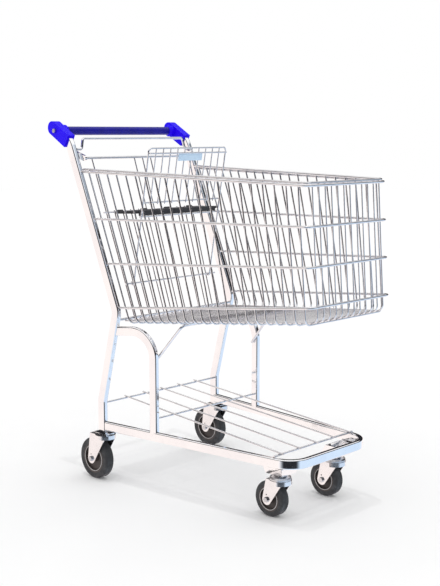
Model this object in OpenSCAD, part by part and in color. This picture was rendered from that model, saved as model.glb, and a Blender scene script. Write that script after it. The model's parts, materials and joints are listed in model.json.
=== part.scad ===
// Wire shopping cart: tube frame, wire basket, swinging rear gate with a folding child seat,
// low rack and four swivel casters. +X is the front, +Y the cart's left, +Z up.

/* [Basket] */
// Height of the basket rim above the floor, at the handle end
rim_rear_z = 928; // [900:5:960]
// Height of the basket rim above the floor, at the front
rim_front_z = 911; // [880:5:945]
// Half width of the basket hoops at the handle end
half_rear = 236; // [225:1:250]
// Half width of the basket hoops at the front
half_front = 167; // [140:1:185]
// Distance of the front top edge ahead of the frame's datum
front_top_x = 501; // [440:1:540]
// Distance of the front bottom edge ahead of the datum
front_bottom_x = 525; // [470:1:560]
// Height of the basket floor wires at the rear bar
floor_rear_z = 489; // [470:1:505]
// Rise of the basket floor for each millimetre forward
floor_rise = 0.101; // [0.05:0.005:0.15]
// Heights of the lower hoops where they meet the uprights
hoop_rear_z = [785, 657, 532]; // [500:1:850]
// Heights of the lower hoops at the front corners
hoop_front_z = [802, 700, 598]; // [560:1:860]
// Number of upright wires in each side wall
side_wires = 21; // [12:1:28]
// Number of upright wires in the front wall
front_wires = 12; // [6:1:16]
// Number of lengthwise wires in the basket floor
floor_wires = 23; // [9:1:31]

/* [Wires] */
// Diameter of the rim and hoop wires
hoop_d = 7; // [5:0.5:9]
// Diameter of the side wall wires
side_d = 5; // [3:0.5:6]
// Diameter of the front wall wires and the lengthwise floor wires
front_d = 4; // [3:0.5:5]
// Corner radius of the hoops
hoop_bend = 22; // [15:1:35]
// Bend radius of the wall wires where they turn under the floor
foot_bend = 18; // [12:1:24]
// Clearance left for the weld where two wires cross
weld_gap = 0.1; // [0.05:0.05:0.3]

/* [Frame tubes] */
// Depth of the upright tube, seen from the side
upright_w = 30; // [24:1:34]
// Thickness of all frame tubes across the cart
tube_t = 15; // [12:1:20]
// Wall of the frame tubes
tube_wall = 1.5; // [1:0.1:2.5]
// Half distance between the centres of the uprights
upright_y = 238; // [230:1:255]
// Depth of the arch tube
arch_w = 27; // [20:1:30]
// Height of the base rail tube
rail_h = 27; // [22:1:32]
// Height of the base rail's centre at the front arch leg
rail_z = 167.5; // [160:0.5:175]
// Rise of the base rail for each millimetre forward
rail_rise = 0.008; // [0.0:0.001:0.03]
// Half width of the base rail at its front corners
rail_half_front = 162; // [140:1:180]
// Distance of the rail's front bar ahead of the datum
rail_front_x = 462; // [420:1:490]
// Radius of the rail's front corners
rail_bend = 62; // [40:1:80]

/* [Handle] */
// Height of the handle's centre
handle_z = 1041; // [1000:1:1080]
// Distance of the handle's centre from the datum, towards the rear
handle_x = -412; // [-440:1:-390]
// Outer diameter of the grip sleeve
grip_d = 26; // [24:0.5:32]
// Outer diameter of the steel handle tube
handle_d = 22; // [20:0.5:25]
// Half length of the grip sleeve
grip_half = 207; // [180:1:215]
// Thickness of the end caps across the cart
cap_t = 26; // [22:1:32]
// Slope of the upper end of the uprights above the horizontal
handle_slope = 30; // [20:1:40]

/* [Gate and child seat] */
// Lean of the rear gate from the vertical
gate_lean = 18.9; // [16:0.1:20]
// Height of the gate's hinge bar
gate_z = 961; // [950:1:975]
// Half width of the gate at the hinge bar
gate_half_top = 200; // [190:1:205]
// Half width of the gate at its lower edge
gate_half_bottom = 177; // [165:1:178]
// Length of the gate from the hinge bar to its lower edge
gate_len = 494; // [480:1:496]
// Distance of the seat wire below the hinge bar, along the gate
seat_wire_at = 170; // [160:1:180]
// Distance of the backrest's hinge wire below the hinge bar
rest_wire_at = 390; // [380:1:400]
// Forward lean of the open backrest
rest_lean = 10.4; // [8:0.1:12]
// Length of the backrest above its hinge wire
rest_len = 405; // [380:1:420]
// Half width of the backrest
rest_half = 158; // [140:1:160]
// Depth of the seat from its hinge to its front edge
seat_len = 105; // [95:1:105]
// Half width of the seat
seat_half = 170; // [120:1:172]
// Thickness of the seat plate
seat_t = 7; // [4:0.5:8]

/* [Casters] */
// Diameter of the rear wheels
rear_wheel_d = 125; // [115:1:130]
// Diameter of the front wheels
front_wheel_d = 100; // [95:1:110]
// Width of the tyres
tyre_w = 30; // [22:1:32]
// Distance of the wheel behind the swivel pin, rear
rear_trail = 41; // [30:1:45]
// Distance of the wheel behind the swivel pin, front
front_trail = 30; // [25:1:35]
// Half track of the front casters
front_caster_y = 118; // [100:1:125]
// Radius of the swivel head of each fork
head_r = 31; // [28:0.5:34]
// Radius of the swivel pins
pin_r = 5; // [4:0.5:6]
// Radius of the axle sleeves
axle_r = 6; // [5:0.5:8]
// Running clearance on each radius of a turning fit
run_gap = 0.05; // [0.02:0.01:0.08]

/* [Rack] */
// Number of lengthwise wires in the lower rack
rack_wires = 5; // [3:1:9]
// Half distance between the outermost rack wires
rack_half = 147; // [120:1:150]
// Height of the rear rack cross wire
rack_rear_z = 234; // [225:1:245]

/* [Hidden] */
$fn = 48;

// --- placing the frame's datum so that the origin lies under the middle of the cart
bar_x = -150;                       // rear floor bar, across between the uprights
front_floor_z = floor_rear_z + floor_rise * (front_bottom_x - bar_x);
cap_r = 20;                         // radius of the rounded end of a handle cap
cap_past = 17;                      // how far the rounded end's centre lies past the handle
rear_end_x = handle_x - cap_past * cos(handle_slope) - cap_r;
hoop_front_last = front_x(hoop_front_z[2]);
front_end_x = hoop_front_last + hoop_d / 2;
mid_x = (rear_end_x + front_end_x) / 2;

// --- uprights, in the plane seen from the side
knee = [-152, 518];                 // forward bend of the upright, under the basket
ankle = [-223, 243];                // bend above the rear caster
foot_z = 147;                       // lower end of the upright
upright_slope = 0.42;               // rearward run of the upright for each millimetre up
upright_bend = 40;
top_bend = 50;
wrist_run = 62.4;                   // from the handle's centre down to the upright's top bend
tip = [handle_x - 8 * cos(handle_slope), handle_z + 8 * sin(handle_slope)];
wrist = [handle_x + wrist_run * cos(handle_slope), handle_z - wrist_run * sin(handle_slope)];
upright_path = [for (p = [tip, wrist, knee, ankle, [ankle.x, foot_z]]) [p.x, 0, p.y]];
upright_bends = [0, top_bend, upright_bend, upright_bend, 0];
inner_y = upright_y - tube_t / 2;   // inner faces of the uprights
tube_corner = 4;                    // corner radius of the frame tubes' section

// --- where the basket meets the uprights: a line just ahead of their front faces
run_up = (knee.x - wrist.x) / (wrist.y - knee.y);
face_ahead = upright_w / 2 * sqrt(1 + run_up * run_up) + 1.6;
function rear_x(z) = knee.x - run_up * (z - knee.y) + face_ahead;
function front_x(z) = front_bottom_x
    + (front_top_x - front_bottom_x) * (z - front_floor_z) / (rim_front_z - front_floor_z);
bar_d = 8;
function long_z(x) = floor_rear_z + floor_rise * (x - bar_x);
function cross_z(x) = long_z(x) - front_d / 2 - side_d / 2 - weld_gap;

// --- side walls: straight wires from the rim down to the floor, inside the hoops
wall_in = hoop_d / 2 + side_d / 2 + weld_gap;
front_in = hoop_d / 2 + front_d / 2 + weld_gap;
first_u = 0.025;                    // place of the first and last wall wires along the wall
last_u = 0.96;
function wire_u(i) = first_u + (last_u - first_u) * i / (side_wires - 1);
foot_rear_x = rear_x(floor_rear_z);
function wall_y(u) = half_rear + (half_front - half_rear) * u - wall_in;
function top_of(u) = [mix(rear_x(rim_rear_z), front_top_x, u), wall_y(u),
                      mix(rim_rear_z, rim_front_z, u)];
function foot_of(u) = let (x = mix(foot_rear_x, front_bottom_x, u)) [x, wall_y(u), cross_z(x)];
foot_run = 24;                      // length of a wall wire's foot under the floor
front_floor_half = 140;             // outermost wires of the front wall and floor
rear_floor_half = 205;
rim_drop = 6.5;                     // the outer rim wire lies this far below the upper one

// --- base rail
rail_start_x = ankle.x;
rail_rear_half = upright_y;
rail_ref_x = -24;
rail_tilt = atan(rail_rise);
function rail_mid_z(x) = rail_z + rail_rise * (x - rail_ref_x);
function rail_y(x) = rail_rear_half
    + (rail_half_front - rail_rear_half) * (x - rail_start_x) / (rail_front_x - rail_start_x);

// --- arches between the uprights and the rail
arch_x = -18;
arch_bend = 75;
arch_rear = [-166, 461];
arch_top_z = arch_rear.y + floor_rise * (arch_x - arch_rear.x);
arch_rear_y = upright_y - 2;
arch_turn = atan((arch_rear_y - rail_y(arch_x)) / (arch_x - arch_rear.x));
arch_run = norm([arch_x - arch_rear.x, arch_rear_y - rail_y(arch_x)]);

// --- gate: its plane leans back from its foot to the hinge bar
gate_x = -303;
bar_r = 4;                          // radius of the hinge bar
gate_d = 4;                         // gate wires
cross_d = 5;                        // cross wires of the gate and backrest
gate_dir = [sin(gate_lean), 0, -cos(gate_lean)];
gate_out = [cos(gate_lean), 0, sin(gate_lean)];
gate_top = [gate_x, 0, gate_z];
cross_off = gate_d / 2 + cross_d / 2 + weld_gap;
seat_pin = gate_top + seat_wire_at * gate_dir + cross_off * gate_out;
rest_pin = gate_top + rest_wire_at * gate_dir + cross_off * gate_out;
gate_steps = 6;                     // wires each side of the gate's middle wire
function gate_half(s) = mix(gate_half_top, gate_half_bottom, s / gate_len);

// --- backrest
rest_d = 5;
hook_r = cross_d / 2 + rest_d / 2 + run_gap;
rest_dir = [sin(rest_lean), 0, cos(rest_lean)];
rest_out = [cos(rest_lean), 0, -sin(rest_lean)];
rest_foot = rest_pin + hook_r * rest_out;
rest_lower = 202;                   // cross wires, measured up the backrest
rest_upper = 244;
rest_wires = 10;
rest_back = -(rest_d / 2 + cross_d / 2 + weld_gap);

// --- casters
hub_half = 20;
fork_t = 2.5;
fork_gap = 0.3;                     // side play between hub and fork, and at the swivel
top_over = 9;                       // top of a front fork above the top of its wheel
race_h = 18;                        // height of the race above a front fork
rear_pin_x = -208;
front_pin_x = 380;
rear_pin_y = upright_y + 4;
plate_t = 4;
CORNERS = [["rear", -1], ["rear", 1], ["front", -1], ["front", 1]];

// ---------------------------------------------------------------- helpers
butt = 0.05;                        // a straight run stops this far short of its bend
sleeve_len = 0.4;                   // length of the sleeve that closes the joint
sleeve_over = 0.06;                 // how much wider than the wire or tube the sleeve is

function mix(a, b, t) = a + (b - a) * t;
function unit(v) = v / norm(v);
function turn(p, i) = acos(max(-1, min(1, unit(p[i] - p[i - 1]) * unit(p[i + 1] - p[i]))));
function inside(p, i) = i > 0 && i < len(p) - 1;
function setback(p, b, i) = inside(p, i) ? b[i] * tan(turn(p, i) / 2) : 0;
function flip(p) = [for (q = p) [q.x, -q.y, q.z]];
function all_bends(p, r) = [for (q = p) r];

// Moves a shape drawn in X, Y, Z to the axes a, b, c with its origin at o
module at_axes(o, a, b, c) {
    multmatrix([[a.x, b.x, c.x, o.x], [a.y, b.y, c.y, o.y], [a.z, b.z, c.z, o.z], [0, 0, 0, 1]])
        children();
}

// Carries a section along a bent path that lies in one plane with normal n.
// The section's X lies in the path's plane and its Y along n. The second child is the
// same section a hair larger: short sleeves of it close the joints at each bend.
module sweep(p, bends, n) {
    last = len(p) - 1;
    for (i = [0 : last - 1]) {
        d = unit(p[i + 1] - p[i]);
        from = p[i] + d * (setback(p, bends, i) + (i > 0 ? butt : 0));
        to = p[i + 1] - d * (setback(p, bends, i + 1) + (i < last - 1 ? butt : 0));
        at_axes(from, cross(n, d), n, d) linear_extrude(norm(to - from)) children(0);
    }
    for (i = [1 : 1 : last - 1]) {
        d_in = unit(p[i] - p[i - 1]);
        d_out = unit(p[i + 1] - p[i]);
        hand = cross(d_in, d_out) * n > 0 ? 1 : -1;
        side = cross(n, d_in) * hand;
        start = p[i] - d_in * setback(p, bends, i);
        end = p[i] + d_out * setback(p, bends, i);
        at_axes(start + side * bends[i], -side, d_in, hand * n)
            rotate_extrude(angle = turn(p, i)) translate([bends[i], 0]) children(0);
        at_axes(start, cross(n, d_in), n, d_in)
            linear_extrude(sleeve_len, center = true) children(1);
        at_axes(end, cross(n, d_out), n, d_out)
            linear_extrude(sleeve_len, center = true) children(1);
    }
}

// A round wire along a path with any number of bends of radius r
module wire(p, d, r = 20) {
    last = len(p) - 1;
    bends = all_bends(p, r);
    for (i = [0 : last - 1]) {
        e = unit(p[i + 1] - p[i]);
        rod(p[i] + e * (setback(p, bends, i) + (i > 0 ? butt : 0)),
            p[i + 1] - e * (setback(p, bends, i + 1) + (i < last - 1 ? butt : 0)), d);
    }
    for (i = [1 : 1 : last - 1]) {
        e_in = unit(p[i] - p[i - 1]);
        e_out = unit(p[i + 1] - p[i]);
        axis = unit(cross(e_in, e_out));
        side = cross(axis, e_in);
        start = p[i] - e_in * setback(p, bends, i);
        end = p[i] + e_out * setback(p, bends, i);
        at_axes(start + side * r, -side, e_in, axis)
            rotate_extrude(angle = turn(p, i)) translate([r, 0]) circle(d = d);
        rod(start - e_in * sleeve_len / 2, start + e_in * sleeve_len / 2, d + sleeve_over);
        rod(end - e_out * sleeve_len / 2, end + e_out * sleeve_len / 2, d + sleeve_over);
    }
}

// A straight round bar from a to b
module rod(a, b, d) {
    e = unit(b - a);
    s = unit(cross(e, abs(e.z) > 0.9 ? [1, 0, 0] : [0, 0, 1]));
    at_axes(a, s, cross(e, s), e) cylinder(h = norm(b - a), d = d);
}

// A straight bar across the cart
module bar(x, z, half, d) {
    rod([x, -half, z], [x, half, z], d);
}

// Section of the frame tubes: a rectangle with rounded corners
module section(w, t) {
    square([w - 2 * tube_corner, t], center = true);
    square([w, t - 2 * tube_corner], center = true);
    for (x = [-1, 1], y = [-1, 1])
        translate([x * (w / 2 - tube_corner), y * (t / 2 - tube_corner)])
            circle(r = tube_corner);
}

module placed() {
    translate([-mid_x, 0, 0]) children();
}

// ---------------------------------------------------------------- frame
module upright_solid(grow) {
    w = upright_w + 2 * grow;
    t = tube_t + 2 * grow;
    sweep(upright_path, upright_bends, [0, 1, 0]) {
        section(w, t);
        section(w + sleeve_over, t + sleeve_over);
    }
}

module upright(side) {
    color("silver") placed() translate([0, side * upright_y, 0]) difference() {
        upright_solid(0);
        upright_solid(-tube_wall);
        translate([handle_x, 0, handle_z]) rotate([90, 0, 0])
            cylinder(r = bolt_r + 0.25, h = 2 * tube_t, center = true);
    }
}

function rail_path(x0) = [for (q = [[x0, 1], [rail_front_x, 1], [rail_front_x, -1], [x0, -1]])
    [q.x, q.y * rail_y(q.x), rail_mid_z(q.x)]];

module rail_solid(grow) {
    h = rail_h + 2 * grow;
    t = tube_t + 2 * grow;
    sweep(rail_path(rail_start_x), [0, rail_bend, rail_bend, 0],
          [-sin(rail_tilt), 0, cos(rail_tilt)]) {
        rotate(90) section(h, t);
        rotate(90) section(h + sleeve_over, t + sleeve_over);
    }
}

module base_rail() {
    color("silver") placed() difference() {
        rail_solid(0);
        rail_solid(-tube_wall);
        for (side = [-1, 1]) translate([ankle.x, side * upright_y, foot_z - 10])
            linear_extrude(70) section(upright_w + 2 * weld_gap, tube_t + 2 * weld_gap);
    }
}

module arch_solid(w, t) {
    path = [[0, 0, arch_rear.y], [arch_run, 0, arch_top_z], [arch_run, 0, rail_mid_z(arch_x)]];
    sweep(path, [0, arch_bend, 0], [0, 1, 0]) {
        section(w, t);
        section(w + sleeve_over, t + sleeve_over);
    }
}

module arch(side) {
    color("silver") placed() difference() {
        translate([arch_rear.x, side * arch_rear_y, 0]) rotate([0, 0, -side * arch_turn])
            difference() {
                arch_solid(arch_w, tube_t);
                arch_solid(arch_w - 2 * tube_wall, tube_t - 2 * tube_wall);
            }
        for (inward = [0, 4])
            translate([0, side * (upright_y - inward), 0]) upright_solid(weld_gap);
        rail_solid(weld_gap);
    }
}

module basket_brace() {
    brace_d = 8;
    u = 6;
    x = foot_of(wire_u(u)).x;
    z = cross_z(x) - side_d / 2 - brace_d / 2 - weld_gap;
    low_y = rail_y(arch_x) - tube_t / 2 - brace_d / 2 - weld_gap;
    top = wall_y(wire_u(u)) - foot_bend;
    p = [[arch_x - 7, low_y, 385], [x, top, z]];
    color("silver") placed() wire([p[0], p[1], flip(p)[1], flip(p)[0]], brace_d, 14);
}

// ---------------------------------------------------------------- handle
bolt_r = 4;
plug_len = 30;
cap_y = upright_y + cap_t / 2;
cap_w = 2 * cap_r - 0.4;            // depth of the cap's sleeve, a hair inside its rounded end
cap_len = 62;                       // reach of the sleeve down the upright from the handle

module handle_tube() {
    color("silver") placed() translate([handle_x, 0, handle_z]) rotate([90, 0, 0])
        difference() {
            cylinder(d = handle_d, h = 2 * inner_y - 0.2, center = true);
            cylinder(d = handle_d - 2 * tube_wall, h = 2 * inner_y + 2, center = true);
        }
}

module handle_grip() {
    color("mediumblue") placed() translate([handle_x, 0, handle_z]) rotate([90, 0, 0])
        difference() {
            cylinder(d = grip_d, h = 2 * grip_half - 0.4, center = true);
            cylinder(d = handle_d + 0.2, h = 2 * grip_half + 2, center = true);
        }
}

module handle_plugs() {
    color("dimgray") placed() for (side = [-1, 1])
        translate([handle_x, side * (inner_y - 0.2), handle_z]) rotate([side * 90, 0, 0])
            difference() {
                cylinder(d = handle_d - 2 * tube_wall - 0.1, h = plug_len);
                translate([0, 0, -1]) cylinder(r = bolt_r + 0.05, h = plug_len);
            }
}

module handle_cap(side) {
    collar = upright_y - grip_half;
    collar_r = grip_d / 2 + 5;
    color("blue") placed() translate([0, side * upright_y, 0]) difference() {
        union() {
            translate([handle_x, 0, handle_z]) rotate([0, handle_slope, 0]) {
                translate([-cap_past, -cap_t / 2, -cap_w / 2])
                    cube([cap_past + cap_len, cap_t, cap_w]);
                translate([-cap_past, 0, 0])
                    rotate([90, 0, 0]) cylinder(r = cap_r, h = cap_t + 0.1, center = true);
            }
            translate([handle_x, 0, handle_z]) rotate([side * 90, 0, 0]) rotate_extrude()
                polygon([[0, 0], [collar_r, 0], [collar_r, collar - 6],
                         [collar_r - 4, collar], [0, collar]]);
        }
        upright_solid(0.2);
        translate([handle_x, 0, handle_z]) rotate([side * 90, 0, 0])
            cylinder(d = handle_d + 0.2, h = upright_y);
        translate([handle_x, 0, handle_z]) rotate([side * -90, 0, 0])
            cylinder(r = bolt_r + 0.25, h = cap_t);
    }
}

module handle_bolts() {
    head_h = 5.5;
    color("gray") placed() for (side = [-1, 1])
        translate([handle_x, side * (cap_y + 0.1), handle_z]) rotate([side * -90, 0, 0]) {
            cylinder(d = 14, h = head_h, $fn = 6);
            translate([0, 0, -(cap_t + plug_len) / 1.6])
                cylinder(r = bolt_r, h = (cap_t + plug_len) / 1.6);
        }
}

module top_cross_bar() {
    d = 8;
    a = [[-334, inner_y - 0.2, 986], [-334, 212, 986], [-338, 204, 1018]];
    color("silver") placed()
        wire([a[0], a[1], a[2], flip(a)[2], flip(a)[1], flip(a)[0]], d, 8);
}

// ---------------------------------------------------------------- basket
function hoop_path(zr, zf, inset) = [
    [rear_x(zr), half_rear - inset, zr], [front_x(zf) - inset, half_front - inset, zf],
    [front_x(zf) - inset, -(half_front - inset), zf], [rear_x(zr), -(half_rear - inset), zr]];

module basket_rim() {
    color("silver") placed() {
        wire(hoop_path(rim_rear_z, rim_front_z, wall_in), hoop_d, hoop_bend - wall_in);
        wire(hoop_path(rim_rear_z - rim_drop, rim_front_z - rim_drop, 0), hoop_d, hoop_bend);
    }
}

module basket_hoops() {
    color("silver") placed() for (i = [0 : len(hoop_rear_z) - 1])
        wire(hoop_path(hoop_rear_z[i], hoop_front_z[i], 0), hoop_d, hoop_bend);
}

module side_wall(side) {
    color("silver") placed() for (i = [0 : side_wires - 1]) {
        u = wire_u(i);
        foot = foot_of(u);
        down = unit(foot - top_of(u));
        lean = side_d / 2 * sqrt(1 - down.z * down.z);
        top = top_of(u) + down * (hoop_d / 2 + weld_gap + lean) / abs(down.z);
        p = [top, foot, foot - [0, foot_run, 0]];
        wire([for (q = p) [q.x, side * q.y, q.z]], side_d, foot_bend);
    }
}

module front_wall_wires() {
    top_x = front_x(rim_front_z) - front_in;
    foot_x = front_bottom_x - front_in;
    color("silver") placed() for (i = [0 : front_wires - 1]) {
        y = front_floor_half * (2 * i / (front_wires - 1) - 1);
        top = [top_x, y, rim_front_z - hoop_d / 2 - weld_gap];
        foot = [foot_x, y, long_z(foot_x)];
        wire([top, foot, foot - foot_run * [1, 0, floor_rise]], front_d, foot_bend);
    }
}

module floor_long_wires() {
    x0 = bar_x - 3;
    x1 = front_bottom_x - front_in - foot_run - 0.2;
    color("silver") placed() for (i = [0 : floor_wires - 1]) {
        s = 2 * i / (floor_wires - 1) - 1;
        rod([x0, s * rear_floor_half, long_z(x0)], [x1, s * front_floor_half, long_z(x1)],
            front_d);
    }
}

module floor_cross_wires() {
    color("silver") placed() for (i = [0 : side_wires - 1]) {
        foot = foot_of(wire_u(i));
        bar(foot.x, foot.z, foot.y - foot_run - 0.1, side_d);
    }
}

module rear_floor_bar() {
    color("silver") placed()
        bar(bar_x, long_z(bar_x) + front_d / 2 + bar_d / 2 + weld_gap, inner_y - weld_gap, bar_d);
}

// ---------------------------------------------------------------- lower rack
rack_cross_d = 6;
rack_long_d = 5;
rack_front_x = 400;
rack_step = rack_cross_d / 2 + rack_long_d / 2 + weld_gap;
rack_front_z = rail_mid_z(rack_front_x) + rail_h / 2 + rack_cross_d / 2 + weld_gap;
function rack_z(x) = mix(rack_rear_z, rack_front_z,
                         (x - ankle.x) / (rack_front_x - ankle.x));

module rack_cross_wires() {
    color("silver") placed() {
        bar(ankle.x, rack_rear_z, inner_y - weld_gap, rack_cross_d);
        bar(arch_x, rack_z(arch_x), rail_y(arch_x) - tube_t / 2 - 0.6, rack_cross_d);
        bar(rack_front_x, rack_front_z, rail_y(rack_front_x), rack_cross_d);
    }
}

module rack_long_wires() {
    x0 = ankle.x - 5;
    x1 = rack_front_x + 12;
    color("silver") placed() for (i = [0 : rack_wires - 1]) {
        y = rack_half * (2 * i / (rack_wires - 1) - 1);
        rod([x0, y, rack_z(x0) + rack_step], [x1, y, rack_z(x1) + rack_step], rack_long_d);
    }
}

// ---------------------------------------------------------------- gate
eye_t = 8;
eye_r = 8;

module gate_hinge_eyes() {
    lug_x = rear_x(gate_z + 12) - face_ahead;
    color("silver") placed() for (side = [-1, 1])
        translate([0, side * (inner_y - weld_gap) + (side < 0 ? eye_t : 0), 0])
            rotate([90, 0, 0]) difference() {
            linear_extrude(eye_t) hull() {
                translate([gate_x, gate_z]) circle(r = eye_r, $fn = 32);
                translate([lug_x, gate_z + 12]) circle(r = eye_r, $fn = 32);
            }
            translate([gate_x, gate_z, -1]) cylinder(r = bar_r + run_gap, h = eye_t + 2);
        }
}

module gate_top_bar() {
    color("silver") placed() bar(gate_x, gate_z, inner_y - 0.6, 2 * bar_r);
}

// A point of the gate: s along it from the hinge bar, y across, h ahead of its wires
function on_gate(s, y, h) = gate_top + s * gate_dir + [0, y, 0] + h * gate_out;

module gate_upright_wires() {
    color("silver") placed() for (k = [-gate_steps : gate_steps]) {
        tall = abs(k) <= 1 || abs(k) == gate_steps;
        s0 = tall ? bar_r + gate_d / 2 - 1.9 : seat_wire_at - 6;
        rod(on_gate(s0, gate_half(s0) * k / gate_steps, 0),
            on_gate(gate_len, gate_half(gate_len) * k / gate_steps, 0), gate_d);
    }
}

module gate_cross_wires() {
    seat = on_gate(seat_wire_at, 0, cross_off);
    rest = on_gate(rest_wire_at, 0, cross_off);
    low = on_gate(gate_len - 4, 0, cross_off);
    color("silver") placed() {
        bar(seat.x, seat.z, gate_half(seat_wire_at) + 14, cross_d);
        bar(rest.x, rest.z, gate_half(rest_wire_at) + 5, cross_d);
        bar(low.x, low.z, gate_half_bottom + 1, cross_d);
    }
}

// ---------------------------------------------------------------- child seat
clip_w = 20;
clip_r = 6;
seat_tilt = 3;                      // the plate rises by this angle towards its front edge
seat_top = 2;                       // top face of the plate above its hinge wire
seat_back = 8;                      // rear edge of the plate, ahead of its hinge wire
seat_corner = 14;
lip_t = 6;
lip_z = on_rest(rest_lower, 0, rest_back).z + cross_d / 2 + 0.3 - seat_pin.z;

module seat_plate() {
    pitch = gate_half(seat_wire_at) / gate_steps;
    inset = seat_half - seat_corner;
    color("dimgray") placed() translate(seat_pin) difference() {
        union() {
            rotate([0, -seat_tilt, 0]) translate([0, 0, seat_top - seat_t])
                linear_extrude(seat_t) {
                    translate([seat_back, -seat_half])
                        square([seat_len - seat_back - seat_corner, 2 * seat_half]);
                    translate([seat_back, -inset]) square([seat_len - seat_back, 2 * inset]);
                    for (side = [-1, 1]) translate([seat_len - seat_corner, side * inset])
                        circle(r = seat_corner);
                }
            translate([seat_len - lip_t, -inset, lip_z])
                cube([lip_t, 2 * inset, seat_len * sin(seat_tilt) - lip_z]);
            for (k = [-4.5, -1.5, 1.5, 4.5]) translate([0, k * pitch, 0]) {
                rotate([90, 0, 0]) cylinder(r = clip_r, h = clip_w, center = true);
                translate([0, -clip_w / 2, seat_top - seat_t])
                    cube([seat_back + 4, clip_w, seat_t]);
            }
        }
        rotate([90, 0, 0])
            cylinder(r = cross_d / 2 + run_gap, h = 2 * seat_half + 2, center = true);
    }
}

// A point of the backrest: s up from its hinge, y across, h ahead of its wires
function on_rest(s, y, h) = rest_foot + s * rest_dir + [0, y, 0] + h * rest_out;

module backrest_frame() {
    hook_turn = 215;                // how far each hook curls round its hinge wire
    color("silver") placed() {
        wire([on_rest(butt, -rest_half, 0), on_rest(rest_len, -rest_half, 0),
              on_rest(rest_len, rest_half, 0), on_rest(butt, rest_half, 0)], rest_d, 12);
        for (side = [-rest_half, rest_half]) {
            at_axes(rest_pin + [0, side, 0], rest_out, -rest_dir, [0, 1, 0])
                rotate_extrude(angle = hook_turn) translate([hook_r, 0]) circle(d = rest_d);
            rod(on_rest(-sleeve_len / 2, side, 0), on_rest(sleeve_len / 2, side, 0),
                rest_d + sleeve_over);
        }
    }
}

module backrest_cross_wires() {
    color("silver") placed() {
        for (s = [rest_lower, rest_upper])
            rod(on_rest(s, -rest_half - 1, rest_back), on_rest(s, rest_half + 1, rest_back),
                cross_d);
        rod(on_rest(rest_len - 14, -rest_half + 1, -rest_back),
            on_rest(rest_len - 14, rest_half - 1, -rest_back), cross_d);
    }
}

module backrest_wires() {
    s1 = rest_len - rest_d / 2 - gate_d / 2 + 1.9;
    color("silver") placed() for (i = [1 : rest_wires]) {
        y = rest_half * (2 * i / (rest_wires + 1) - 1);
        rod(on_rest(rest_upper - 5, y, 0), on_rest(s1, y, 0), gate_d);
    }
}

module notice_board() {
    board_w = 96;
    board_h = 21;
    board_t = 2;
    board_y = 8;
    color("lightblue") placed()
        at_axes(on_rest(rest_len - 14 - cross_d / 2 - weld_gap, board_y,
                        gate_d / 2 + weld_gap), [0, 1, 0], rest_dir, rest_out)
            translate([-board_w / 2, -board_h, 0]) cube([board_w, board_h, board_t]);
}

// ---------------------------------------------------------------- casters
function is_rear(c) = c[0] == "rear";
function wheel_d(c) = is_rear(c) ? rear_wheel_d : front_wheel_d;
function trail(c) = is_rear(c) ? rear_trail : front_trail;
function pin_at(c) = is_rear(c) ? [rear_pin_x, c[1] * rear_pin_y]
                                : [front_pin_x, c[1] * front_caster_y];
function fork_top(c) = is_rear(c) ? foot_z - weld_gap - plate_t - fork_gap
                                  : front_wheel_d + top_over;
bracket_z = fork_top(CORNERS[2]) + fork_gap + race_h;

module at_caster(c) {
    placed() translate([pin_at(c).x, pin_at(c).y, 0]) children();
}

module at_wheel(c) {
    at_caster(c) translate([-trail(c), 0, wheel_d(c) / 2]) rotate([90, 0, 0]) children();
}

module fork(c) {
    axle_z = wheel_d(c) / 2;
    high = fork_top(c) - axle_z;
    in_y = hub_half + fork_gap;
    lobe = 15;
    back = is_rear(c) ? 5 : 3;
    nose = trail(c) + 20;
    profile = [[-back, high], [-lobe * 0.97, 4], [0, 0], [lobe * 0.8, -lobe * 0.6],
               [nose, high - 12], [nose, high]];
    color("silver") at_caster(c) difference() {
        union() {
            translate([0, 0, fork_top(c) - 3]) cylinder(r = head_r, h = 3);
            translate([-trail(c) - back, -in_y - fork_t, fork_top(c) - 3])
                cube([trail(c) + back, 2 * (in_y + fork_t), 3]);
            for (s = [-1, 1])
                translate([-trail(c), s * (in_y + fork_t / 2), axle_z]) rotate([90, 0, 0]) {
                    linear_extrude(fork_t, center = true) polygon(profile);
                    cylinder(r = lobe, h = fork_t, center = true);
                }
            // rounded nose that joins the two side plates under the swivel head
            intersection() {
                translate([0, 0, fork_top(c) - 12]) difference() {
                    cylinder(r = head_r, h = 10);
                    translate([0, 0, -1]) cylinder(r = head_r - fork_t, h = 12);
                }
                translate([4, -head_r - 1, 0]) cube([head_r, 2 * head_r + 2, 200]);
            }
        }
        translate([0, 0, fork_top(c) - 10]) cylinder(r = pin_r + run_gap, h = 20);
        translate([-trail(c), 0, axle_z]) rotate([90, 0, 0])
            cylinder(r = 4.1, h = 3 * in_y, center = true);
        translate([-trail(c) - 1, 0, axle_z + 14]) rotate([90, 0, 0])
            cylinder(r = 2, h = 3 * in_y, center = true);
    }
}

module axle(c) {
    in_y = hub_half + fork_gap;
    out_y = in_y + fork_t + 0.1;
    color("dimgray") at_wheel(c) {
        cylinder(r = 4, h = 2 * out_y + 4, center = true);
        difference() {
            cylinder(r = axle_r, h = 2 * in_y - 0.2, center = true);
            cylinder(r = 3.9, h = 2 * in_y, center = true);
        }
        for (s = [-1, 1]) translate([0, 0, s * (out_y + 2.75)])
            cylinder(d = 15, h = 5.5, center = true, $fn = 6);
    }
}

module tyre(c) {
    r = wheel_d(c) / 2;
    rim = r * 0.72;
    edge = 5.5;
    color("#3b3636") at_wheel(c) rotate_extrude() difference() {
        union() {
            translate([rim, -tyre_w / 2]) square([r - rim - edge, tyre_w]);
            translate([r - edge, -tyre_w / 2 + edge]) square([edge, tyre_w - 2 * edge]);
            for (s = [-1, 1])
                translate([r - edge, s * (tyre_w / 2 - edge)]) circle(r = edge);
        }
        translate([rim - 10, -tyre_w]) square([10, 2 * tyre_w]);
    }
}

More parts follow.
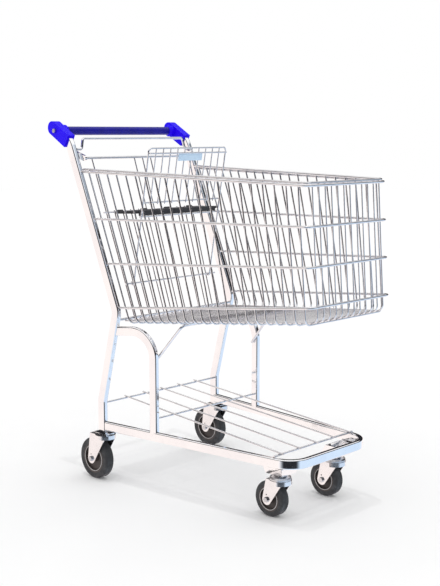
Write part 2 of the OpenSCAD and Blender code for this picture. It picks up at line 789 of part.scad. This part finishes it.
module hub(c) {
    rim = wheel_d(c) / 2 * 0.72 - 0.1;
    bore = axle_r + run_gap;
    web = 7;
    color("#6f6866") at_wheel(c) rotate_extrude() {
        translate([bore, -hub_half]) square([6, 2 * hub_half]);
        translate([bore + 5, -web]) square([rim - bore - 10, 2 * web]);
        translate([rim - 6, -tyre_w / 2]) square([6, tyre_w]);
    }
}

module rear_caster_plates() {
    top = foot_z - 0.1;
    color("silver") placed() for (side = [-1, 1])
        translate([rear_pin_x, side * rear_pin_y, top - plate_t]) difference() {
            translate([-36, -16, 0]) cube([58, 32, plate_t]);
            translate([0, 0, -1]) cylinder(r = pin_r + weld_gap / 2, h = plate_t + 2);
        }
}

module front_caster_brackets() {
    under = rail_h / 2 + weld_gap;
    base_z = bracket_z;
    color("silver") placed() for (side = [-1, 1])
        difference() {
            hull() {
                bracket_slab(side, 1, under, [365, 430], [92, 172]);
                translate([front_pin_x - 30, side * front_caster_y - 28, base_z])
                    cube([60, 56, plate_t]);
            }
            hull() {
                bracket_slab(side, 3, under - 2, [368, 427], [95, 169]);
                translate([front_pin_x - 27, side * front_caster_y - 25, base_z + plate_t])
                    cube([54, 50, 1]);
            }
            translate([front_pin_x, side * front_caster_y, base_z - 1])
                cylinder(r = pin_r + weld_gap / 2, h = plate_t + 2);
        }
}

// A thin slab under the rail, following its slope between two stations
module bracket_slab(side, t, under, xs, ys) {
    for (x = xs) translate([x, side * (ys[0] + ys[1]) / 2, rail_mid_z(x) - under - t / 2])
        cube([1, ys[1] - ys[0], t], center = true);
}

// Each pin is turned in one piece with its head and, at the front, its race and nut
module king_pins() {
    color("gray") for (c = CORNERS) at_caster(c) {
        low = fork_top(c) - 3 - fork_gap;
        race = fork_top(c) + fork_gap;
        rear_top = foot_z - 2 * weld_gap;
        nut = bracket_z + plate_t + weld_gap;
        head = [[0, low - 4], [pin_r + 4, low - 4], [pin_r + 4, low], [pin_r, low]];
        top = is_rear(c) ? [[pin_r, rear_top], [0, rear_top]]
            : [[pin_r, race], [30, race], [30.5, race + 5], [28, race + 9], [22, race + 13],
               [15, race + 15], [15, bracket_z - weld_gap], [pin_r, bracket_z - weld_gap], [pin_r, nut],
               [pin_r + 4, nut], [pin_r + 4, nut + 5], [0, nut + 5]];
        rotate_extrude() polygon(concat(head, top));
    }
}

upright(-1);  // upright_right
upright(1);  // upright_left
base_rail();
arch(-1);  // arch_right
arch(1);  // arch_left
handle_tube();
handle_grip();
handle_plugs();
handle_cap(-1);  // handle_cap_right
handle_cap(1);  // handle_cap_left
handle_bolts();
top_cross_bar();
basket_rim();
basket_hoops();
side_wall(-1);  // side_wires_right
side_wall(1);  // side_wires_left
front_wall_wires();
floor_long_wires();
floor_cross_wires();
rear_floor_bar();
basket_brace();
rack_cross_wires();
rack_long_wires();
gate_hinge_eyes();
rear_caster_plates();
front_caster_brackets();
king_pins();
gate_top_bar();
gate_upright_wires();
gate_cross_wires();
seat_plate();
backrest_frame();
backrest_wires();
backrest_cross_wires();
notice_board();
fork(CORNERS[0]);  // fork_rear_right
fork(CORNERS[1]);  // fork_rear_left
fork(CORNERS[2]);  // fork_front_right
fork(CORNERS[3]);  // fork_front_left
axle(CORNERS[0]);  // axle_rear_right
axle(CORNERS[1]);  // axle_rear_left
axle(CORNERS[2]);  // axle_front_right
axle(CORNERS[3]);  // axle_front_left
tyre(CORNERS[0]);  // tyre_rear_right
tyre(CORNERS[1]);  // tyre_rear_left
tyre(CORNERS[2]);  // tyre_front_right
tyre(CORNERS[3]);  // tyre_front_left
hub(CORNERS[0]);  // hub_rear_right
hub(CORNERS[1]);  // hub_rear_left
hub(CORNERS[2]);  // hub_front_right
hub(CORNERS[3]);  // hub_front_left
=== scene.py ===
"""Looks for the wire shopping cart: plating, plastics, rubber, studio light and camera."""
import json
import math

import bpy
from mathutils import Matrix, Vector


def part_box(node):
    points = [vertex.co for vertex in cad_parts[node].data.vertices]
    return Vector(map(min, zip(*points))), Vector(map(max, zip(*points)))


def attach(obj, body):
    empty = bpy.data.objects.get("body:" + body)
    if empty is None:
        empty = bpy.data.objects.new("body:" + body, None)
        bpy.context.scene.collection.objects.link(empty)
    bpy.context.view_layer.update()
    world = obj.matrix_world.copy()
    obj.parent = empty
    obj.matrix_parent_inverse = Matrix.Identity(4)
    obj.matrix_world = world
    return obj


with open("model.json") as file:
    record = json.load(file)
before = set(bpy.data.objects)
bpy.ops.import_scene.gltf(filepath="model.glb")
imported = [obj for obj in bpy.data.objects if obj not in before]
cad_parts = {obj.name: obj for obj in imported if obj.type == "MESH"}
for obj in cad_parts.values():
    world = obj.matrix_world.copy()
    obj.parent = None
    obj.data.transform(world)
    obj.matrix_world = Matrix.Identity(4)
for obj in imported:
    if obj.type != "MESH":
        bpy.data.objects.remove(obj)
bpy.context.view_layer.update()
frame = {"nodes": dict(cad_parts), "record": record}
NODES = frame["nodes"]
SLOT_OF = {s["node"]: s["material_slot"] for s in frame["record"]["subparts"]}
MM = 0.001


# ---------------------------------------------------------------- shader helpers
# Places of the colour sockets on a Mix node, whose names are shared by its other types
MIX_FACTOR, MIX_A, MIX_B, MIX_COLOUR = 0, 6, 7, 2


def smooth_range(tree, source, start, end, low, high):
    """Eases a value that runs from start to end into one that runs from low to high."""
    n = tree.nodes.new("ShaderNodeMapRange")
    n.interpolation_type = "SMOOTHSTEP"
    tree.links.new(source, n.inputs["Value"])
    for socket, value in (("From Min", start), ("From Max", end),
                          ("To Min", low), ("To Max", high)):
        n.inputs[socket].default_value = value
    return n.outputs["Result"]


def colour_mix(tree, factor, a, b):
    """Mixes two colours, each of them four numbers or a socket."""
    n = tree.nodes.new("ShaderNodeMix")
    n.data_type = "RGBA"
    tree.links.new(factor, n.inputs[MIX_FACTOR])
    for place, value in ((MIX_A, a), (MIX_B, b)):
        if isinstance(value, tuple):
            n.inputs[place].default_value = value
        else:
            tree.links.new(value, n.inputs[place])
    return n.outputs[MIX_COLOUR]


class Surface:
    """A Principled material and short ways to wire procedural detail into it."""

    def __init__(self, name, **values):
        self.material = bpy.data.materials.new(name)
        self.material.use_nodes = True
        self.tree = self.material.node_tree
        self.shader = self.tree.nodes["Principled BSDF"]
        for socket, value in values.items():
            self.shader.inputs[socket.replace("_", " ")].default_value = value
        self.place = self.tree.nodes.new("ShaderNodeTexCoord").outputs["Object"]

    def node(self, kind, links, **values):
        n = self.tree.nodes.new(kind)
        for socket, value in values.items():
            n.inputs[socket].default_value = value
        for socket, source in links.items():
            self.tree.links.new(source, n.inputs[socket])
        return n

    def noise(self, scale, detail=3.0, roughness=0.55):
        n = self.node("ShaderNodeTexNoise", {"Vector": self.place},
                      Scale=scale, Detail=detail, Roughness=roughness)
        return n.outputs["Fac"]

    def ramp(self, source, low, high, start=0.35, end=0.65):
        """Maps the middle of a 0..1 source to the range low..high."""
        return smooth_range(self.tree, source, start, end, low, high)

    def blend(self, source, a, b, start=0.35, end=0.65):
        """Mixes colour a into colour b by a 0..1 source."""
        return colour_mix(self.tree, self.ramp(source, 0, 1, start, end), (*a, 1), (*b, 1))

    def feed(self, socket, source):
        self.tree.links.new(source, self.shader.inputs[socket])

    def bump(self, source, strength, distance):
        n = self.node("ShaderNodeBump", {"Height": source}, Strength=strength,
                      Distance=distance)
        self.feed("Normal", n.outputs["Normal"])


# ---------------------------------------------------------------- finishes
def plating(name, tint, dull_tint, gloss, dull, waviness):
    """Bright plated steel: slight clouds in colour and gloss, and a faint waviness."""
    s = Surface(name, Metallic=1.0)
    s.feed("Base Color", s.blend(s.noise(14, 4), tint, dull_tint))
    s.feed("Roughness", s.ramp(s.noise(55, 5, 0.6), gloss, dull))
    s.bump(s.noise(160, 2), waviness, 0.6 * MM)
    return s.material


def moulded(name, colour, shade, gloss, dull, grain_scale, grain, specular=0.25):
    """Moulded plastic: fine spark-eroded grain, faint scuffs, small shifts in colour."""
    s = Surface(name, Specular_IOR_Level=specular)
    s.feed("Base Color", s.blend(s.noise(22, 4), colour, shade))
    s.feed("Roughness", s.ramp(s.noise(70, 6, 0.65), gloss, dull))
    s.bump(s.noise(grain_scale, 2), grain, 0.4 * MM)
    return s.material


def rubber(name, colour, dust):
    """Tyre rubber: dark, with pale dust worn into it and a fine pebbled skin."""
    s = Surface(name, Specular_IOR_Level=0.35)
    s.feed("Base Color", s.blend(s.noise(38, 6, 0.7), colour, dust, 0.42, 0.78))
    s.feed("Roughness", s.ramp(s.noise(90, 5), 0.5, 0.78))
    s.bump(s.noise(900, 2), 0.25, 0.4 * MM)
    return s.material


FINISHES = {
    "tube": plating("plated_tube", (0.93, 0.92, 0.92), (0.88, 0.87, 0.88), 0.05, 0.11, 0.02),
    "wire": plating("plated_wire", (0.86, 0.85, 0.86), (0.78, 0.77, 0.79), 0.08, 0.16, 0.02),
    "zinc": plating("zinc_plate", (0.88, 0.86, 0.86), (0.80, 0.79, 0.80), 0.14, 0.24, 0.05),
    "fastener": plating("bolt_steel", (0.66, 0.65, 0.66), (0.5, 0.5, 0.52), 0.2, 0.36, 0.1),
    "cap": moulded("cap_plastic", (0.022, 0.001, 0.95), (0.018, 0.001, 0.86),
                   0.4, 0.52, 700, 0.05, 0.1),
    "grip": moulded("grip_plastic", (0.010, 0.008, 0.30), (0.008, 0.007, 0.25),
                    0.28, 0.42, 800, 0.12),
    "black_plastic": moulded("plug_plastic", (0.02, 0.02, 0.02), (0.03, 0.03, 0.03),
                             0.4, 0.55, 700, 0.1),
    "seat": moulded("seat_plastic", (0.045, 0.045, 0.05), (0.035, 0.035, 0.04),
                    0.38, 0.52, 900, 0.2),
    "board": moulded("board_plastic", (0.58, 0.76, 0.95), (0.54, 0.72, 0.92),
                     0.25, 0.35, 500, 0.03),
    "tread": rubber("tyre_rubber", (0.038, 0.039, 0.042), (0.075, 0.078, 0.084)),
    "hub": moulded("hub_plastic", (0.085, 0.070, 0.066), (0.07, 0.058, 0.055),
                   0.38, 0.55, 500, 0.15),
}
# Pale colour of the wheel rings: a painted reflection of the groove between tyre and hub.
GROOVE_REFLECTION_FINISH = moulded("groove_reflection_plastic", (0.62, 0.60, 0.60), (0.52, 0.50, 0.50),
                      0.3, 0.45, 700, 0.05)

for name, cad in NODES.items():
    cad.data.materials.clear()
    cad.data.materials.append(FINISHES[SLOT_OF[name]])


# ---------------------------------------------------------------- rings on the wheels: pale beads that carry a painted reflection of the groove
RING_AT = 0.62          # radius of the pale ring, a painted reflection of the groove, as a share of the wheel's radius
RING_WIRE = 0.9 * MM    # radius of its section


def wheel_reflection_ring(corner, side):
    """A pale bead where the tyre is moulded onto the hub, on one face of a wheel; its pale
    colour is a painted reflection of the groove there.
    """
    low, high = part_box(f"tyre_{corner}")
    middle, radius = (low + high) / 2, (high.z - low.z) / 2
    bpy.ops.mesh.primitive_torus_add(
        location=(middle.x, high.y if side > 0 else low.y, middle.z),
        rotation=(math.radians(90), 0, 0), major_radius=RING_AT * radius,
        minor_radius=RING_WIRE, major_segments=64, minor_segments=8)
    ring = bpy.context.object
    ring.name = f"wheel_reflection_ring_{corner}_{'left' if side > 0 else 'right'}"
    ring.data.materials.append(GROOVE_REFLECTION_FINISH)
    for face in ring.data.polygons:
        face.use_smooth = True
    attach(ring, f"wheel_{corner}")


for corner in ("rear_right", "rear_left", "front_right", "front_left"):
    for side in (-1, 1):
        wheel_reflection_ring(corner, side)


# ---------------------------------------------------------------- studio
FLOOR_HALF = 14
FLOOR_PALE, FLOOR_PALER = (0.955, 0.955, 0.955), (0.965, 0.965, 0.965)


def floor():
    """A plain pale floor that the plating doesn't mirror, so that it mirrors the room."""
    h = FLOOR_HALF
    mesh = bpy.data.meshes.new("studio_floor")
    mesh.from_pydata([(-h, -h, 0), (h, -h, 0), (h, h, 0), (-h, h, 0)], [], [(0, 1, 2, 3)])
    ground = bpy.data.objects.new("studio_floor", mesh)
    bpy.context.scene.collection.objects.link(ground)
    ground.visible_glossy = False
    s = Surface("floor_paint", Roughness=0.9, Specular_IOR_Level=0.0)
    s.feed("Base Color", s.blend(s.noise(3, 3), FLOOR_PALE, FLOOR_PALER))
    mesh.materials.append(s.material)


TO_CAMERA = (0.70, -0.714, 0.0)
DARK = (0.022, 0.022, 0.026, 1)
WARM = (1.0, 0.925, 0.90, 1)
COOL = (0.66, 0.81, 1.0, 1)
WHITE = (1, 1, 1, 1)
ROOM_STRENGTH = 1.1         # of what the plating mirrors
EVEN_STRENGTH = 0.99        # of the light that falls on everything else
BACKDROP_STRENGTH = 1.0     # of what the camera sees past the floor


def sky():
    """Even white light, and for the plating a room with warm and cool walls and dark bands."""
    world = bpy.data.worlds.new("studio")
    bpy.context.scene.world = world
    world.use_nodes = True
    tree = world.node_tree
    link = tree.links.new

    def ramp(source, start, end, low=0.0, high=1.0):
        return smooth_range(tree, source, start, end, low, high)

    def maths(kind, a, b):
        n = tree.nodes.new("ShaderNodeMath")
        n.operation = kind
        link(a, n.inputs[0])
        link(b, n.inputs[1])
        return n.outputs[0]

    where = tree.nodes.new("ShaderNodeTexCoord").outputs["Generated"]
    split = tree.nodes.new("ShaderNodeSeparateXYZ")
    link(where, split.inputs["Vector"])
    facing = tree.nodes.new("ShaderNodeVectorMath")
    facing.operation = "DOT_PRODUCT"
    link(where, facing.inputs[0])
    facing.inputs[1].default_value = TO_CAMERA
    x, z = split.outputs["X"], split.outputs["Z"]
    band = maths("MULTIPLY", ramp(z, 0.02, 0.09), ramp(z, 0.44, 0.62, 1, 0))
    behind_camera = maths("MULTIPLY", ramp(facing.outputs["Value"], 0.62, 0.86),
                          maths("MULTIPLY", ramp(z, 0.44, 0.62, 1, 0), ramp(z, -0.5, -0.3)))
    walls = colour_mix(tree, ramp(x, -0.25, 0.45), WARM, COOL)
    room = colour_mix(tree, ramp(z, 0.45, 0.7), walls, WHITE)
    room = colour_mix(tree, maths("MAXIMUM", band, behind_camera), room, DARK)

    shiny = tree.nodes["Background"]
    link(room, shiny.inputs["Color"])
    shiny.inputs["Strength"].default_value = ROOM_STRENGTH
    even = tree.nodes.new("ShaderNodeBackground")
    even.inputs["Color"].default_value = WHITE
    rays = tree.nodes.new("ShaderNodeLightPath")
    link(ramp(rays.outputs["Is Camera Ray"], 0, 1, EVEN_STRENGTH, BACKDROP_STRENGTH),
         even.inputs["Strength"])
    mix = tree.nodes.new("ShaderNodeMixShader")
    link(rays.outputs["Is Glossy Ray"], mix.inputs[0])
    link(even.outputs[0], mix.inputs[1])
    link(shiny.outputs[0], mix.inputs[2])
    link(mix.outputs[0], tree.nodes["World Output"].inputs["Surface"])


OVERHEAD_ENERGY = 0.25
OVERHEAD_ANGLE = 0.5        # degrees across
OVERHEAD_TILT = 2           # degrees off the vertical, both ways


def overhead_light():
    """A weak lamp straight overhead: it draws the soft shadow of the wires on the floor."""
    data = bpy.data.lights.new("overhead", "SUN")
    data.energy = OVERHEAD_ENERGY
    data.angle = math.radians(OVERHEAD_ANGLE)
    lamp = bpy.data.objects.new("overhead", data)
    bpy.context.scene.collection.objects.link(lamp)
    lamp.rotation_euler = (math.radians(OVERHEAD_TILT), math.radians(OVERHEAD_TILT), 0)


floor()
sky()
overhead_light()


# ---------------------------------------------------------------- camera
CAMERA_PLACE = (2.1742, -2.2229, 1.0354)
CAMERA_AZIMUTH = 44.42
CAMERA_PITCH = 8.52
CAMERA_LENS = 65.75

camera = bpy.data.objects.new("camera", bpy.data.cameras.new("camera"))
camera.data.lens = CAMERA_LENS
camera.data.sensor_width = 36
camera.location = CAMERA_PLACE
camera.rotation_euler = (math.radians(90 - CAMERA_PITCH), 0, math.radians(CAMERA_AZIMUTH))
bpy.context.scene.collection.objects.link(camera)
bpy.context.scene.camera = camera
bpy.context.scene.view_settings.view_transform = "Standard"
